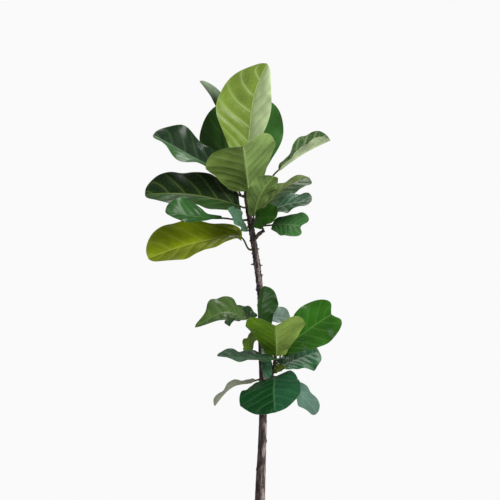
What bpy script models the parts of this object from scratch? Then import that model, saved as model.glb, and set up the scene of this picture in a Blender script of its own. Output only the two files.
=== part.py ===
"""A potted fiddle leaf fig: a slim bare trunk in a plain planter, a crown of leaves and a lower tier.

Metres, +Z up. The origin is the middle of the planter's flat base; the trunk stands on the
Z axis and the fig's front is -Y. Every leaf is one closed piece, its stalk grown into its blade.
"""

import math

import bmesh
import bpy
import numpy as np

# The planter and its soil.
POT_HEIGHT = 0.280
POT_BASE_RADIUS = 0.102
POT_RIM_RADIUS = 0.150
POT_WALL = 0.009
POT_FLOOR = 0.012
POT_EDGE_ROUND = 0.004
COLLAR_HEIGHT = 0.034
COLLAR_STEP = 0.005
SOIL_TOP = 0.236
SOIL_MOUND = 0.006
FIT_GAP = 0.0004

# The trunk: where its middle line runs and how thick it is, from the buried foot to the top.
BURIED_FOOT = 0.130
TRUNK = [
    ((0.000, 0.000, 0.130), 0.0185),
    ((0.000, 0.000, 0.250), 0.0180),
    ((0.000, 0.000, 0.360), 0.0165),
    ((0.006, 0.000, 0.520), 0.0135),
    ((0.010, 0.000, 0.680), 0.0120),
    ((0.005, 0.000, 0.872), 0.0108),
    ((0.000, 0.000, 1.032), 0.0100),
    ((-0.013, 0.000, 1.138), 0.0098),
    ((-0.025, 0.000, 1.214), 0.0096),
    ((-0.038, 0.000, 1.291), 0.0082),
    ((-0.045, 0.000, 1.336), 0.0066),
    ((-0.046, 0.000, 1.362), 0.0048),
]
SPUR = [
    ((-0.018, 0.000, 1.194), 0.0058),
    ((-0.002, -0.008, 1.212), 0.0054),
    ((0.013, -0.016, 1.222), 0.0048),
]
SHOOT = [
    ((0.009, 0.000, 0.735), 0.0075),
    ((0.028, -0.012, 0.752), 0.0070),
    ((0.043, -0.020, 0.780), 0.0062),
    ((0.048, -0.024, 0.828), 0.0052),
]
TRUNK_SIDES = 12
BRANCH_SIDES = 10

BUD_RADIUS = 0.0052
BUD_LENGTH = 0.030

# Leaves: how fine the closed shell of one is, how thick it is and how its stalk sits on the wood.
BLADE_RINGS = 11
STALK_RINGS = 3
ACROSS = (-1.0, -0.58, 0.0, 0.58, 1.0)
BLADE_THICKNESS = 0.0012
STALK_RADIUS = 0.0028
SEAT_GAP = 0.0006
SEAT_STRAIGHT = 0.007

# What every leaf has unless its own line says otherwise: the half-widths' share of the width,
# the lift of each half from the midrib and its further curl (degrees), the wave of the margin,
# the dent at the tip, the lobes behind the stalk, the waist, and the width near the stalk.
USUAL = dict(
    width=0.08, left=1.0, right=1.0, fold=(15, 15), curl=(0, 0),
    wave=0.006, waves=2.5, phase=0.0, notch=0.0, lobe=0.012, waist=0.04,
    peak=0.0, base=0.60, tip=2.3,
)

# Each leaf: where its stalk leaves the wood, the stalk's end, the middle and the tip of the
# midrib; the way its upper face looks; then its own proportions.
LEAVES = {
    "crown_leaf_01": dict(
        rib=[(-0.044, 0.002, 1.345), (-0.042, 0.020, 1.410), (-0.030, 0.045, 1.560),
             (-0.012, 0.050, 1.675), (0.014, 0.045, 1.741)],
        face=(0, -1, 0), width=0.122, fold=(0, 58), curl=(12, -25), right=0.72, tip=1.95,
        notch=-0.024),
    "crown_leaf_02": dict(
        rib=[(-0.042, -0.005, 1.318), (-0.037, -0.020, 1.345), (-0.045, -0.100, 1.420),
             (-0.054, -0.180, 1.485)],
        face=(0.1, 0.7, 0.7), width=0.125, fold=(40, 2), curl=(10, -24), notch=0.012,
        base=0.72),
    "crown_leaf_03": dict(
        rib=[(-0.042, 0.010, 1.335), (-0.031, 0.055, 1.382), (-0.005, 0.108, 1.500),
             (0.012, 0.120, 1.655)],
        face=(0, -1, 0.1), width=0.078, fold=(10, 10)),
    "crown_leaf_04": dict(
        rib=[(-0.046, 0.010, 1.330), (-0.080, 0.050, 1.375), (-0.116, 0.145, 1.500),
             (-0.114, 0.185, 1.650)],
        face=(0, -1, 0.1), width=0.085, fold=(10, 10), waist=0.10, tip=1.9),
    "crown_leaf_05": dict(
        rib=[(-0.046, 0.008, 1.356), (-0.064, 0.052, 1.420), (-0.118, 0.108, 1.600),
             (-0.197, 0.118, 1.716)],
        face=(0.5, -0.8, 0.2), width=0.035, fold=(50, 50), lobe=0.004),
    "crown_leaf_06": dict(
        rib=[(-0.046, 0.000, 1.335), (-0.095, 0.010, 1.385), (-0.220, 0.010, 1.460),
             (-0.342, 0.000, 1.528)],
        face=(0.1, -0.57, 0.82), width=0.088, fold=(20, 20), wave=0.014, waves=2.0, phase=3.2),
    "crown_leaf_07": dict(
        rib=[(-0.042, -0.005, 1.298), (-0.060, -0.012, 1.298), (-0.220, -0.030, 1.335),
             (-0.365, -0.040, 1.336)],
        face=(0.05, -0.6, 0.8), width=0.095, fold=(16, 16), base=1.0),
    "crown_leaf_08": dict(
        rib=[(-0.036, -0.006, 1.258), (-0.118, -0.077, 1.260), (-0.200, -0.144, 1.262),
             (-0.291, -0.176, 1.279)],
        face=(0.1, -0.85, 0.52), width=0.062, left=0.42, fold=(8, 6), base=0.25, peak=0.04),
    "crown_leaf_09": dict(
        rib=[(-0.030, -0.008, 1.232), (-0.042, -0.040, 1.231), (-0.070, -0.095, 1.258),
             (-0.101, -0.140, 1.286)],
        face=(0.45, -0.7, 0.5), width=0.036, fold=(5, 5), base=0.95, peak=-0.3, tip=1.5),
    "crown_leaf_10": dict(
        rib=[(-0.020, -0.008, 1.162), (-0.056, -0.022, 1.197), (-0.190, -0.050, 1.185),
             (-0.350, -0.090, 1.133)],
        face=(0.1, -0.62, 0.78), width=0.095, fold=(20, 20)),
    "crown_leaf_11": dict(
        rib=[(-0.036, 0.008, 1.325), (0.060, 0.040, 1.418), (0.130, 0.050, 1.468),
             (0.228, 0.050, 1.516)],
        face=(-0.35, -0.17, 0.92), width=0.066, right=0.68, fold=(50, 42), base=0.35,
        peak=0.05, lobe=0.004),
    "crown_leaf_12": dict(
        rib=[(-0.030, -0.007, 1.244), (-0.020, -0.032, 1.268), (0.000, -0.090, 1.332),
             (0.042, -0.140, 1.387)],
        face=(-0.2, 0.6, 0.75), width=0.048, fold=(15, 15)),
    "crown_leaf_13": dict(
        rib=[(-0.030, -0.001, 1.270), (0.000, 0.002, 1.286), (0.080, 0.026, 1.360),
             (0.160, 0.045, 1.394)],
        face=(-0.1, -0.5, 0.86), width=0.070, right=0.6, fold=(-15, -6), tip=4.5),
    "crown_leaf_14": dict(
        rib=[(-0.028, -0.004, 1.256), (0.006, -0.030, 1.271), (0.090, -0.064, 1.304),
             (0.160, -0.090, 1.314)],
        face=(-0.1, -0.45, 0.89), width=0.066, fold=(5, 5), base=0.8),
    "crown_leaf_15": dict(
        rib=[(-0.022, -0.010, 1.232), (-0.018, -0.052, 1.252), (0.014, -0.115, 1.262),
             (0.049, -0.168, 1.262)],
        face=(-0.25, -0.85, 0.45), width=0.044, fold=(5, 5), base=1.0),
    "crown_leaf_16": dict(
        rib=[(0.014, -0.018, 1.226), (0.037, -0.030, 1.239), (0.090, -0.060, 1.240),
             (0.150, -0.090, 1.228)],
        face=(-0.05, -0.72, 0.69), width=0.066, left=0.82, fold=(8, 8), base=0.65,
        notch=0.026, lobe=0.004, waves=1.6),
    "lower_leaf_01": dict(
        rib=[(-0.006, -0.008, 0.935), (-0.045, -0.020, 0.943), (-0.110, -0.047, 0.962),
             (-0.154, -0.065, 0.945)],
        face=(0.1, -0.56, 0.82), width=0.066, left=0.75, fold=(14, 14), tip=2.3, peak=-0.1,
        notch=-0.060),
    "lower_leaf_02": dict(
        rib=[(-0.002, 0.010, 0.935), (-0.020, 0.030, 0.940), (-0.060, 0.080, 0.945),
             (-0.110, 0.120, 0.935)],
        face=(0.1, -0.7, 0.64), width=0.050, fold=(8, 8)),
    "lower_leaf_03": dict(
        rib=[(0.008, -0.010, 0.870), (0.014, -0.025, 0.900), (0.006, -0.035, 0.970),
             (0.016, -0.025, 1.045)],
        face=(-0.3, -0.95, 0), width=0.052, fold=(60, 0), left=0.4),
    "lower_leaf_04": dict(
        rib=[(0.047, -0.030, 0.815), (0.050, -0.050, 0.825), (0.048, -0.130, 0.890),
             (0.045, -0.215, 0.945)],
        face=(0, 0.5, 0.87), width=0.100, fold=(20, 20), notch=0.03),
    "lower_leaf_05": dict(
        rib=[(0.052, -0.020, 0.810), (0.065, -0.030, 0.828), (0.150, -0.040, 0.905),
             (0.252, -0.040, 0.972)],
        face=(0.1, -0.9, 0.3), width=0.073, fold=(8, 8), notch=0.03),
    "lower_leaf_06": dict(
        rib=[(0.043, -0.030, 0.800), (0.058, -0.078, 0.816), (-0.038, -0.112, 0.822),
             (-0.134, -0.120, 0.832)],
        face=(0, -0.14, 0.99), width=0.075, fold=(8, 8), base=0.75),
    "lower_leaf_07": dict(
        rib=[(-0.002, 0.010, 0.885), (-0.015, 0.030, 0.893), (-0.028, 0.080, 0.872),
             (-0.034, 0.130, 0.822)],
        face=(-0.2, -0.3, 0.9), width=0.028, fold=(10, 10)),
    "lower_leaf_08": dict(
        rib=[(0.008, -0.011, 0.850), (0.010, -0.027, 0.846), (0.018, -0.045, 0.806),
             (0.023, -0.050, 0.755)],
        face=(0.2, -0.95, 0.1), width=0.020, fold=(25, 25)),
    "lower_leaf_09": dict(
        rib=[(0.043, -0.020, 0.774), (0.050, -0.044, 0.773), (0.062, -0.052, 0.784),
             (0.074, -0.060, 0.795)],
        face=(-0.3, 0.7, 0.6), width=0.024, fold=(15, 15), lobe=0.002, wave=0.002),
    "lower_leaf_10": dict(
        rib=[(0.048, -0.015, 0.778), (0.072, 0.006, 0.788), (0.124, 0.034, 0.808),
             (0.192, 0.050, 0.832)],
        face=(0, -0.6, 0.8), width=0.074, fold=(5, 5), base=0.55),
    "lower_leaf_11": dict(
        rib=[(0.034, -0.015, 0.758), (0.042, -0.055, 0.758), (0.042, -0.160, 0.728),
             (0.044, -0.240, 0.672)],
        face=(-0.2, -0.45, 0.85), width=0.098, fold=(5, -6), left=0.85, right=1.14, base=0.95,
        lobe=0.03),
    "lower_leaf_12": dict(
        rib=[(0.034, -0.015, 0.758), (0.060, 0.016, 0.750), (0.120, 0.050, 0.702),
             (0.186, 0.060, 0.630)],
        face=(0.3, -0.6, 0.7), width=0.046, fold=(8, 8), base=0.45),
    "lower_leaf_13": dict(
        rib=[(-0.002, -0.006, 0.745), (-0.022, -0.020, 0.742), (-0.085, -0.050, 0.731),
             (-0.143, -0.070, 0.670)],
        face=(-0.2, 0.25, 0.95), width=0.050, fold=(12, 12)),
    "lower_leaf_14": dict(
        rib=[(0.008, 0.010, 0.930), (0.020, 0.030, 0.936), (0.060, 0.080, 0.940),
             (0.102, 0.110, 0.930)],
        face=(0, -0.75, 0.66), width=0.052, fold=(8, 8)),
}


def smoothstep(low, high, x):
    t = np.clip((x - low) / (high - low), 0.0, 1.0)
    return t * t * (3 - 2 * t)


def unit(v):
    v = np.asarray(v, float)
    return v / np.linalg.norm(v, axis=-1, keepdims=True)


def smooth_path(points, count=400):
    """A smooth curve through the points, as many close points and their distance along it."""
    p = np.array(points, float)
    chord = np.linalg.norm(np.diff(p, axis=0), axis=1)
    knot = np.concatenate([[0], np.cumsum(chord)])
    slope = np.diff(p, axis=0) / chord[:, None]
    tangent = np.empty_like(p)
    weighted = slope[:-1] * chord[1:, None] + slope[1:] * chord[:-1, None]
    tangent[1:-1] = weighted / (chord[:-1] + chord[1:])[:, None]
    tangent[0] = 1.5 * slope[0] - 0.5 * tangent[1]
    tangent[-1] = 1.5 * slope[-1] - 0.5 * tangent[-2]
    at = np.linspace(0, knot[-1], count)
    i = np.clip(np.searchsorted(knot, at, side="right") - 1, 0, len(chord) - 1)
    h = chord[i][:, None]
    t = ((at - knot[i]) / chord[i])[:, None]
    curve = (2 * t**3 - 3 * t**2 + 1) * p[i] + (t**3 - 2 * t**2 + t) * h * tangent[i]
    curve += (-2 * t**3 + 3 * t**2) * p[i + 1] + (t**3 - t**2) * h * tangent[i + 1]
    step = np.linalg.norm(np.diff(curve, axis=0), axis=1)
    return curve, np.concatenate([[0], np.cumsum(step)])


def stem_line(stem):
    """The middle line of a stem as close points, its direction and its radius at each."""
    line, along = smooth_path([p for p, r in stem])
    given = np.array([p for p, r in stem], float)
    where = [along[np.argmin(np.linalg.norm(line - p, axis=1))] for p in given]
    radius = np.interp(along, where, [r for p, r in stem])
    return line, unit(np.gradient(line, axis=0)), radius


def seat(stems, start, toward):
    """Two points where a stalk leaves the bark nearest to its start: at the skin and just off it."""
    best = None
    for line, direction, radius in stems:
        i = int(np.argmin(np.linalg.norm(line - start, axis=1)))
        gap = np.linalg.norm(line[i] - start)
        if best is None or gap < best[0]:
            best = (gap, line[i], direction[i], radius[i])
    gap, middle, direction, radius = best
    out = toward - middle
    out = unit(out - out.dot(direction) * direction)
    sagitta = radius - math.sqrt(max(radius**2 - STALK_RADIUS**2, 0))
    return middle + out * (radius + sagitta + SEAT_GAP), middle + out * (radius + SEAT_STRAIGHT)


def leaf_points(leaf, stems, share, across, turn, top):
    """Points of a leaf's skin: share runs -1..0 up the stalk and 0..1 along the blade."""
    s = dict(USUAL)
    s.update(leaf)
    rib = np.array(s["rib"], float)
    first, second = seat(stems, rib[0], rib[1])
    line, along = smooth_path([first, second] + [tuple(p) for p in rib[1:]])
    base = along[np.argmin(np.linalg.norm(line - rib[1], axis=1))]
    blade = along[-1] - base
    u = np.asarray(share, float)[:, None]
    b = np.asarray(across, float)[None, :]
    turn = np.asarray(turn, float)[None, :]
    top = np.asarray(top, float)[None, :]
    a = np.clip(u, 0, 1)
    m = np.abs(b)
    run = np.where(u < 0, base * (1 + u), base + blade * a)[:, 0]
    place = np.stack([np.interp(run, along, line[:, k]) for k in range(3)], axis=-1)
    ahead = np.stack([np.interp(run + 0.002, along, line[:, k]) for k in range(3)], axis=-1)
    behind = np.stack([np.interp(run - 0.002, along, line[:, k]) for k in range(3)], axis=-1)
    forward = unit(ahead - behind)
    up = unit(s["face"]) + 0 * a
    up = unit(up - np.sum(up * forward, axis=1, keepdims=True) * forward)
    side = np.cross(forward, up)
    y = 2 * a - 1
    rounded = (1 - np.abs(y) ** s["tip"]) ** (1 / s["tip"])
    fiddle = s["base"] + (1.02 - s["base"]) * smoothstep(0.12 + s["peak"], 0.68 + s["peak"], a)
    fiddle = fiddle - s["waist"] * np.exp(-(((a - 0.30) / 0.13) ** 2))
    half = s["width"] * np.where(b > 0, s["right"], s["left"]) * rounded * fiddle
    half = np.maximum(half, 0.002)
    begin = smoothstep(0.0, 0.12, a)
    fold = np.radians(np.where(b > 0, s["fold"][1], s["fold"][0])) * begin
    curl = np.radians(np.where(b > 0, s["curl"][1], s["curl"][0]) + 0.05) * begin + 1e-4
    reach = half * (np.sin(fold + curl * m) - np.sin(fold)) / curl
    lift = half * (np.cos(fold) - np.cos(fold + curl * m)) / curl
    swell = np.sin(2 * math.pi * s["waves"] * a + s["phase"] + np.where(b > 0, 1.3, 0.0))
    lift = lift + s["wave"] * m * m * swell * begin * half / s["width"]
    dent = np.exp(-((m * half / (0.35 * s["width"])) ** 2)) * a**3
    slide = -s["lobe"] * m**1.5 * (1 - a) ** 5 - s["notch"] * dent
    angle = fold + curl * m
    sign = np.where(b > 0, 1.0, -1.0)
    f, n, c = forward[:, None, :], up[:, None, :], side[:, None, :]
    lean = angle * smoothstep(0.0, 0.3, m)
    skin = n * np.cos(lean)[..., None] - c * (sign * np.sin(lean))[..., None]
    rib_depth = 2 * STALK_RADIUS * (1 - 0.8 * a) * np.maximum(1 - m * 2.2, 0)
    thick = np.where(top > 0, BLADE_THICKNESS / 2, -BLADE_THICKNESS / 2 - rib_depth)
    flat = f * slide[..., None] + c * (sign * reach)[..., None] + n * lift[..., None]
    flat = flat + skin * thick[..., None]
    girth = STALK_RADIUS * (1 + 0.25 * smoothstep(-0.55, -1.0, u))
    round_ = c * (girth * np.cos(turn))[..., None] + n * (girth * np.sin(turn))[..., None]
    blend = smoothstep(0.0, 0.06, a)[..., None]
    return place[:, None, :] + round_ * (1 - blend) + flat * blend


def new_object(name, bm, colour):
    mesh = bpy.data.meshes.new(name)
    bmesh.ops.recalc_face_normals(bm, faces=bm.faces)
    bm.to_mesh(mesh)
    bm.free()
    obj = bpy.data.objects.new(name, mesh)
    plant.objects.link(obj)
    paint(obj, colour)
    return obj


def paint(obj, colour):
    material = bpy.data.materials.new(obj.name + "_material")
    material.use_nodes = True
    shader = material.node_tree.nodes["Principled BSDF"]
    shader.inputs["Base Color"].default_value = colour
    shader.inputs["Roughness"].default_value = 0.5
    obj.data.materials.clear()
    obj.data.materials.append(material)


def turned(name, profile, steps, colour):
    """A solid of revolution: the profile runs from the top to the bottom at +X."""
    mesh = bpy.data.meshes.new(name)
    mesh.from_pydata([(r, 0, z) for r, z in profile], [(i, i + 1) for i in range(len(profile) - 1)], [])
    obj = bpy.data.objects.new(name, mesh)
    plant.objects.link(obj)
    screw = obj.modifiers.new("turn", "SCREW")
    screw.steps = steps
    screw.render_steps = steps
    screw.use_merge_vertices = True
    screw.merge_threshold = 0.00005
    bpy.context.view_layer.objects.active = obj
    bpy.ops.object.modifier_apply(modifier="turn")
    paint(obj, colour)
    return obj


def tube(name, stem, spacing, sides, collection, colour):
    """A closed round stem whose thickness follows the stem's own radii."""
    line, direction, radius = stem_line(stem)
    length = np.linalg.norm(np.diff(line, axis=0), axis=1).sum()
    count = max(3, int(round(length / spacing)) + 1)
    pick = np.linspace(0, len(line) - 1, count).round().astype(int)
    bm = bmesh.new()
    bmesh.ops.create_cone(bm, cap_ends=True, segments=sides, radius1=1, radius2=1, depth=1)
    upright = [e for e in bm.edges if abs(e.verts[0].co.z - e.verts[1].co.z) > 0.5]
    bmesh.ops.subdivide_edges(bm, edges=upright, cuts=count - 2, use_grid_fill=True)
    for v in bm.verts:
        i = pick[int(round((v.co.z + 0.5) * (count - 1)))]
        forward = direction[i]
        across = unit(np.cross((0, 1, 0), forward))
        third = np.cross(forward, across)
        turn = math.atan2(v.co.y, v.co.x)
        v.co = line[i] + radius[i] * (across * math.cos(turn) + third * math.sin(turn))
    mesh = bpy.data.meshes.new(name)
    bmesh.ops.recalc_face_normals(bm, faces=bm.faces)
    bm.to_mesh(mesh)
    bm.free()
    obj = bpy.data.objects.new(name, mesh)
    collection.objects.link(obj)
    paint(obj, colour)
    return obj


def join(target, other):
    """Grows another closed shape into the target."""
    weld = target.modifiers.new("join", "BOOLEAN")
    weld.operation = "UNION"
    weld.solver = "EXACT"
    weld.object = other
    bpy.context.view_layer.objects.active = target
    bpy.ops.object.modifier_apply(modifier="join")


for stale in list(bpy.data.objects):
    bpy.data.objects.remove(stale, do_unlink=True)
plant = bpy.data.collections.new("potted_fiddle_leaf_fig")
bpy.context.scene.collection.children.link(plant)
cutters = bpy.data.collections.new("cutters")
bpy.context.scene.collection.children.link(cutters)

# The planter: a tapered wall under a plain collar, open at the top, on a flat base.
slope = (POT_RIM_RADIUS - POT_BASE_RADIUS) / POT_HEIGHT
collar_foot = POT_HEIGHT - COLLAR_HEIGHT
wall_top = POT_BASE_RADIUS + slope * collar_foot - COLLAR_STEP
inner_floor = POT_BASE_RADIUS - POT_WALL + slope * POT_FLOOR
inner_rim = POT_RIM_RADIUS - POT_WALL - COLLAR_STEP
turned(
    "pot",
    [
        (0, POT_FLOOR),
        (inner_floor - POT_EDGE_ROUND, POT_FLOOR),
        (inner_floor, POT_FLOOR + POT_EDGE_ROUND),
        (inner_rim, POT_HEIGHT - POT_EDGE_ROUND),
        (inner_rim + POT_EDGE_ROUND, POT_HEIGHT),
        (POT_RIM_RADIUS - POT_EDGE_ROUND, POT_HEIGHT),
        (POT_RIM_RADIUS, POT_HEIGHT - POT_EDGE_ROUND),
        (POT_RIM_RADIUS - slope * COLLAR_HEIGHT, collar_foot),
        (wall_top, collar_foot - COLLAR_STEP),
        (POT_BASE_RADIUS, POT_EDGE_ROUND),
        (POT_BASE_RADIUS - POT_EDGE_ROUND, 0),
        (0, 0),
    ],
    48,
    (0.46, 0.20, 0.11, 1),
)

# The soil fills the planter to a few fingers' breadth below the rim, with a well for the trunk's foot.
grow = (inner_rim - inner_floor) / (POT_HEIGHT - POT_FLOOR - 2 * POT_EDGE_ROUND)
edge_top = inner_floor + grow * (SOIL_TOP - POT_FLOOR - POT_EDGE_ROUND)
well = TRUNK[0][1] + FIT_GAP * 3
turned(
    "potting_soil",
    [
        (0, BURIED_FOOT - FIT_GAP * 3),
        (well, BURIED_FOOT - FIT_GAP * 3),
        (well, SOIL_TOP + SOIL_MOUND * 0.8),
        (well + 0.012, SOIL_TOP + SOIL_MOUND),
        (edge_top * 0.62, SOIL_TOP + SOIL_MOUND * 0.35),
        (edge_top - FIT_GAP * 2, SOIL_TOP),
        (inner_floor - FIT_GAP * 2, POT_FLOOR + POT_EDGE_ROUND + FIT_GAP),
        (inner_floor - POT_EDGE_ROUND - FIT_GAP, POT_FLOOR + FIT_GAP),
        (0, POT_FLOOR + FIT_GAP),
    ],
    48,
    (0.035, 0.022, 0.015, 1),
)

# The trunk with the spur under the crown and the short side shoot that carries the lower tier.
trunk = tube("trunk", TRUNK, 0.036, TRUNK_SIDES, plant, (0.16, 0.11, 0.09, 1))
for name, stem in (("spur", SPUR), ("shoot", SHOOT)):
    join(trunk, tube(name, stem, 0.014, BRANCH_SIDES, cutters, (0.16, 0.11, 0.09, 1)))

# The terminal bud stands on the trunk's top, wrapped in its pointed sheath.
bm = bmesh.new()
bmesh.ops.create_cone(bm, cap_ends=True, segments=10, radius1=1, radius2=1, depth=1)
upright = [e for e in bm.edges if abs(e.verts[0].co.z - e.verts[1].co.z) > 0.5]
bmesh.ops.subdivide_edges(bm, edges=upright, cuts=5, use_grid_fill=True)
bud_foot = np.array(TRUNK[-1][0]) + (0, 0, 0.0006)
for v in bm.verts:
    rise = v.co.z + 0.5
    girth = BUD_RADIUS * (0.80 + 0.9 * rise - 1.62 * rise**2)
    lean = 0.004 * rise**2
    v.co = bud_foot + (v.co.x * girth - lean, v.co.y * girth, BUD_LENGTH * rise)
new_object("terminal_bud", bm, (0.25, 0.36, 0.10, 1))

# The leaves: a closed cylinder each, pressed into a round stalk and a thin fiddle-shaped blade.
stems = [stem_line(TRUNK), stem_line(SPUR), stem_line(SHOOT)]
half_ring = len(ACROSS)
ring = 2 * half_ring
order = list(range(half_ring))
across = [ACROSS[k] for k in order] + [ACROSS[k] for k in reversed(order)]
turns = [math.pi * (1 - (2 * k + 1) / ring) for k in order]
turns = turns + [-t for t in reversed(turns)]
tops = [1] * half_ring + [-1] * half_ring
blade_share = (1 - np.cos(np.pi * np.linspace(0, 1, BLADE_RINGS + 1))) / 2
share = np.concatenate([np.linspace(-1, 0, STALK_RINGS + 1)[:-1], blade_share])
for name, leaf in LEAVES.items():
    skin = leaf_points(leaf, stems, share, across, turns, tops)
    bm = bmesh.new()
    bmesh.ops.create_cone(bm, cap_ends=True, segments=ring, radius1=1, radius2=1, depth=1)
    upright = [e for e in bm.edges if abs(e.verts[0].co.z - e.verts[1].co.z) > 0.5]
    bmesh.ops.subdivide_edges(bm, edges=upright, cuts=len(share) - 2, use_grid_fill=True)
    for v in bm.verts:
        i = int(round((v.co.z + 0.5) * (len(share) - 1)))
        k = int(round(math.atan2(v.co.y, v.co.x) / (2 * math.pi) * ring)) % ring
        v.co = skin[i, k]
    bmesh.ops.triangulate(bm, faces=bm.faces)
    new_object(name, bm, (0.08, 0.24, 0.07, 1))

for obj in cutters.objects:
    obj.hide_render = True
    obj.display_type = "WIRE"
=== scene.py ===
"""A potted fiddle leaf fig, dressed from its CAD: planter, soil, trunk, bud and thirty leaves.

Metres, +Z up, the planter's flat base on the floor at the origin, the fig's front at -Y.
"""

import math

import bpy
import numpy as np
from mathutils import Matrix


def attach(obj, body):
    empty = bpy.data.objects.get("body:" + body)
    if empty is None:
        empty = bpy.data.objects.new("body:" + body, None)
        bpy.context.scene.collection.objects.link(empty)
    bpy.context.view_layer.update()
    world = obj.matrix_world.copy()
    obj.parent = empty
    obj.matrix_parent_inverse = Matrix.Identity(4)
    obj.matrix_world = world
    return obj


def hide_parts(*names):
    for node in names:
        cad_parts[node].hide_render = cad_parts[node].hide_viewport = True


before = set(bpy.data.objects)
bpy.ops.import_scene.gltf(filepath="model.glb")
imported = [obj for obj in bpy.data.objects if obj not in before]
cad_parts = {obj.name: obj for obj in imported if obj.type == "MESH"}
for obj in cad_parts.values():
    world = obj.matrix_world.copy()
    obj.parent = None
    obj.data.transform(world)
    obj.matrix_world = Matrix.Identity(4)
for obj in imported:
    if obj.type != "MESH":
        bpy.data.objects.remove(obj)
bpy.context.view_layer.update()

# ---- The planter ------------------------------------------------------------------------
# A thrown and fired clay planter, unglazed, with a plain collar round its rim and a closed floor.
# It stands on its flat foot and holds the soil by weight alone.


def add_node(tree, kind, feeds=None, **settings):
    """A shader node with its settings and what feeds each of its sockets."""
    new = tree.nodes.new("ShaderNode" + kind)
    for name, value in settings.items():
        setattr(new, name, value)
    for socket, value in (feeds or {}).items():
        if isinstance(value, bpy.types.NodeSocket):
            tree.links.new(value, new.inputs[socket])
        else:
            new.inputs[socket].default_value = value
    return new


def work_out(tree, operation, a, b=0.0, c=0.0):
    """The result of one sum in a node tree."""
    return add_node(tree, "Math", {0: a, 1: b, 2: c}, operation=operation).outputs[0]


def ramped(tree, value, low, high, to_low=0.0, to_high=1.0):
    """The value eased from one pair of limits to another."""
    feeds = {"Value": value, "From Min": low, "From Max": high, "To Min": to_low, "To Max": to_high}
    return add_node(tree, "MapRange", feeds, interpolation_type="SMOOTHSTEP").outputs["Result"]


def blended(tree, factor, a, b, how="MIX"):
    """One colour laid over another by a factor."""
    new = tree.nodes.new("ShaderNodeMix")
    new.data_type = "RGBA"
    new.blend_type = how
    for index, value in ((0, factor), (6, a), (7, b)):
        if isinstance(value, bpy.types.NodeSocket):
            tree.links.new(value, new.inputs[index])
        else:
            new.inputs[index].default_value = value
    return new.outputs[2]


def new_material(name, roughness=0.6):
    """A plain material, its node tree and its Principled shader."""
    material = bpy.data.materials.new(name)
    material.use_nodes = True
    tree = material.node_tree
    shader = tree.nodes["Principled BSDF"]
    shader.inputs["Roughness"].default_value = roughness
    return material, tree, shader


def new_group(name, inputs, outputs):
    """A node group with named sockets: its tree, its input node's outputs and its output node."""
    tree = bpy.data.node_groups.new(name, "ShaderNodeTree")
    for label, kind in inputs:
        tree.interface.new_socket(label, in_out="INPUT", socket_type="NodeSocket" + kind)
    for label, kind in outputs:
        tree.interface.new_socket(label, in_out="OUTPUT", socket_type="NodeSocket" + kind)
    source = tree.nodes.new("NodeGroupInput")
    sink = tree.nodes.new("NodeGroupOutput")
    return tree, source.outputs, sink.inputs


def put_on(obj, material):
    """The piece wears this material and no other."""
    obj.data.materials.clear()
    obj.data.materials.append(material)


def hold(obj, label, values):
    """The mesh holds one value at each of its points, for its material to read."""
    obj.data.attributes.new(label, "FLOAT", "POINT").data.foreach_set("value", values)


def turned(name, profile, sides=144):
    """A closed solid turned from its profile of radius and level, from its foot up and inwards."""
    radius, level = profile[0]
    bpy.ops.object.select_all(action="DESELECT")
    bpy.ops.mesh.primitive_circle_add(
        vertices=sides, radius=radius, fill_type="NGON", location=(0, 0, level)
    )
    solid = bpy.context.object
    solid.name = name
    bpy.ops.object.mode_set(mode="EDIT")
    bpy.ops.mesh.select_all(action="SELECT")
    for (radius, level), (next_radius, next_level) in zip(profile[:-1], profile[1:]):
        step = {"value": (0, 0, next_level - level)}
        bpy.ops.mesh.extrude_region_move(TRANSFORM_OT_translate=step)
        widen = next_radius / radius
        bpy.ops.transform.resize(value=(widen, widen, 1), center_override=(0, 0, next_level))
    bpy.ops.mesh.select_all(action="SELECT")
    bpy.ops.mesh.normals_make_consistent(inside=False)
    bpy.ops.object.mode_set(mode="OBJECT")
    return solid


# Fine grain shared by clay, soil and bark: a mask of soft blotches and one of small pits.
grain, g_in, g_out = new_group(
    "weathered grain",
    [("Blotch Scale", "Float"), ("Pit Scale", "Float"), ("Upright Stretch", "Float")],
    [("Blotches", "Float"), ("Pits", "Float"), ("Height", "Float")],
)
place = add_node(grain, "TexCoord").outputs["Object"]
stretch = add_node(grain, "CombineXYZ", {"X": 1.0, "Y": 1.0, "Z": g_in["Upright Stretch"]}).outputs[0]
place = add_node(grain, "VectorMath", {0: place, 1: stretch}, operation="MULTIPLY").outputs[0]
soft = add_node(grain, "TexNoise", {"Vector": place, "Scale": g_in["Blotch Scale"], "Detail": 5.0})
pits = add_node(grain, "TexNoise", {"Vector": place, "Scale": g_in["Pit Scale"], "Detail": 6.0})
blotches = ramped(grain, soft.outputs["Fac"], 0.38, 0.64)
pit_mask = ramped(grain, pits.outputs["Fac"], 0.52, 0.70)
height = work_out(grain, "MULTIPLY_ADD", pit_mask, -0.6, soft.outputs["Fac"])
grain.links.new(blotches, g_out["Blotches"])
grain.links.new(pit_mask, g_out["Pits"])
grain.links.new(height, g_out["Height"])

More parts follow.
